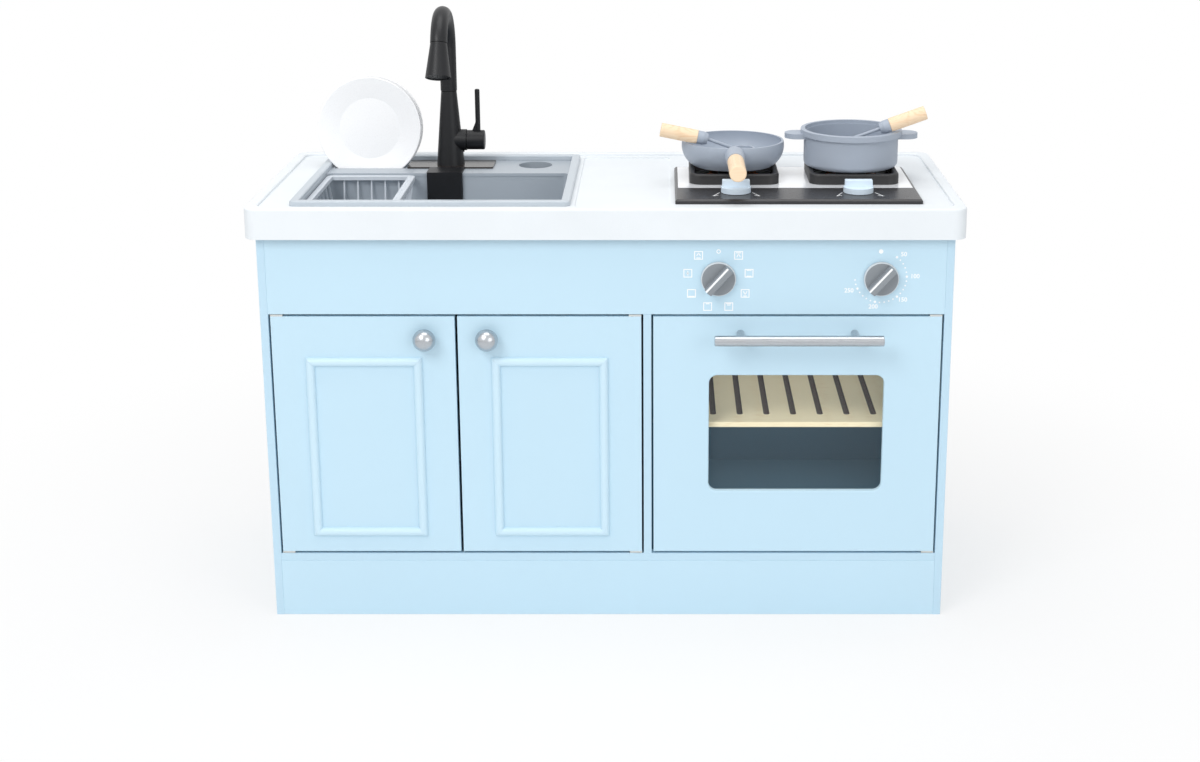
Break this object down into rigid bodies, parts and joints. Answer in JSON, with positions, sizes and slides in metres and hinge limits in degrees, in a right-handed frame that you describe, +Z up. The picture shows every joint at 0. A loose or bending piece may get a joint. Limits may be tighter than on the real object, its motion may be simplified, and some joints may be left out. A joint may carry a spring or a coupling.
{
  "type": "play kitchen",
  "caption": "free-standing play kitchen with cupboard and oven doors that swing, turning dials, a drop-in sink with swivel tap and drainer, a hob and loose cookware",
  "frame": {"origin": "on the floor, under the middle of the whole kitchen", "axes": "X to the right seen from the front, Y to the back, Z up; the doors face -Y"},
  "size_m": [0.8, 0.355, 0.686],
  "materials": {
    "cabinet_blue": "satin paint on board",
    "back_board": "plain board",
    "worktop_white": "fine grain",
    "steel": "brushed",
    "pivot_metal": "plated",
    "window": "clear",
    "oven_slate": "matte",
    "shelf_birch": "bare",
    "dial_grey": "satin",
    "sink_grey": "satin",
    "basket_grey": "satin",
    "tap_black": "matte",
    "tap_plate_black": "polished",
    "plate_white": "semi-gloss",
    "hob_black": "satin",
    "hob_inlay": "satin",
    "copper": "metallic",
    "hob_knob_grey": "satin",
    "cookware_grey": "matte",
    "beech": "bare",
    "fitting_white": "matte"
  },
  "bodies": {
    "cabinet": {"side_panel_left": "cabinet_blue", "side_panel_right": "cabinet_blue", "bottom_panel": "cabinet_blue", "plinth_board": "cabinet_blue", "fascia_board": "cabinet_blue", "centre_divider": "cabinet_blue", "back_panel": "back_board", "oven_top_panel": "cabinet_blue", "oven_liner": "oven_slate", "oven_shelf": "shelf_birch", "shelf_pins": "steel", "magnet_catches": "fitting_white", "pivot_bushes": "fitting_white", "panel_screws": "steel", "worktop": "worktop_white", "worktop_blocks": "cabinet_blue", "sink_unit": "sink_grey", "strainer": "steel", "tap_plate": "tap_plate_black", "pump_housing": "tap_black", "pump_motor": "fitting_white", "supply_tube": "fitting_white", "tap_body": "tap_black", "hob_frame": "hob_black", "hob_plate": "hob_inlay", "grates": "hob_black", "burner_caps": "hob_black", "flame_rings": "copper", "hob_module": "hob_black"},
    "door_left": {"door_left_panel": "cabinet_blue", "door_left_moulding": "cabinet_blue", "door_left_knob": "steel", "door_left_hardware": "pivot_metal"},
    "door_right": {"door_right_panel": "cabinet_blue", "door_right_moulding": "cabinet_blue", "door_right_knob": "steel", "door_right_hardware": "pivot_metal"},
    "oven_door": {"oven_door_panel": "cabinet_blue", "oven_door_pane": "window", "oven_door_hardware": "pivot_metal", "oven_door_handle": "steel"},
    "mode_dial": {"mode_dial": "dial_grey"},
    "temperature_dial": {"temperature_dial": "dial_grey"},
    "hob_knob_left": {"hob_knob_left": "hob_knob_grey"},
    "hob_knob_right": {"hob_knob_right": "hob_knob_grey"},
    "spout": {"spout_tube": "tap_black", "spray_head": "tap_black", "spray_face": "tap_black"},
    "tap_lever": {"lever_cap": "tap_black", "lever_rod": "tap_black"},
    "drainer_basket": {"drainer_basket": "basket_grey"},
    "plate_front": {"plate_front": "plate_white"},
    "plate_back": {"plate_back": "plate_white"},
    "pot": {"pot": "cookware_grey"},
    "pan": {"pan": "cookware_grey", "pan_handle": "beech"},
    "ladle": {"ladle": "cookware_grey", "ladle_handle": "beech"},
    "spoon": {"spoon": "cookware_grey", "spoon_handle": "beech"}
  },
  "joints": [
    {"name": "door_left_pivot", "type": "hinge", "parent": "cabinet", "child": "door_left", "pos_m": [-0.3718, -0.138, 0.077], "axis": [0, 0, 1], "range_deg": [-95, 0]},
    {"name": "door_right_pivot", "type": "hinge", "parent": "cabinet", "child": "door_right", "pos_m": [0.0343, -0.138, 0.077], "axis": [0, 0, 1], "range_deg": [0, 95]},
    {"name": "oven_door_pivot", "type": "hinge", "parent": "cabinet", "child": "oven_door", "pos_m": [0.3718, -0.138, 0.077], "axis": [0, 0, 1], "range_deg": [0, 95]},
    {"name": "mode_dial_turn", "type": "hinge", "parent": "cabinet", "child": "mode_dial", "pos_m": [0.1254, -0.1425, 0.407], "axis": [0, 1, 0], "continuous": true},
    {"name": "temperature_dial_turn", "type": "hinge", "parent": "cabinet", "child": "temperature_dial", "pos_m": [0.3068, -0.1425, 0.407], "axis": [0, 1, 0], "range_deg": [-42, 213]},
    {"name": "hob_knob_left_turn", "type": "hinge", "parent": "cabinet", "child": "hob_knob_left", "pos_m": [0.1466, -0.0765, 0.491], "axis": [0, 0, 1], "range_deg": [-70, 70]},
    {"name": "hob_knob_right_turn", "type": "hinge", "parent": "cabinet", "child": "hob_knob_right", "pos_m": [0.286, -0.0765, 0.491], "axis": [0, 0, 1], "range_deg": [-70, 70]},
    {"name": "spout_swivel", "type": "hinge", "parent": "cabinet", "child": "spout", "pos_m": [-0.1985, 0.1075, 0.578], "axis": [0, 0, 1], "range_deg": [-90, 90]},
    {"name": "lever_tilt", "type": "hinge", "parent": "cabinet", "child": "tap_lever", "pos_m": [-0.178, 0.1075, 0.517], "axis": [1, 0, 0], "range_deg": [0, 45]},
    {"name": "basket_lift", "type": "slide", "parent": "cabinet", "child": "drainer_basket", "axis": [0, 0, 1], "range_m": [0, 0.15]},
    {"name": "plate_front_lift", "type": "slide", "parent": "cabinet", "child": "plate_front", "axis": [0, 0.1045, 0.9945], "range_m": [0, 0.15]},
    {"name": "plate_back_lift", "type": "slide", "parent": "cabinet", "child": "plate_back", "axis": [0, 0.1045, 0.9945], "range_m": [0, 0.15]},
    {"name": "pot_lift", "type": "slide", "parent": "cabinet", "child": "pot", "axis": [0, 0, 1], "range_m": [0, 0.15]},
    {"name": "pan_lift", "type": "slide", "parent": "cabinet", "child": "pan", "axis": [0, 0, 1], "range_m": [0, 0.15]},
    {"name": "ladle_lift", "type": "slide", "parent": "pot", "child": "ladle", "axis": [0, 0, 1], "range_m": [0, 0.12]},
    {"name": "spoon_lift", "type": "slide", "parent": "pan", "child": "spoon", "axis": [0, 0, 1], "range_m": [0, 0.12]}
  ]
}
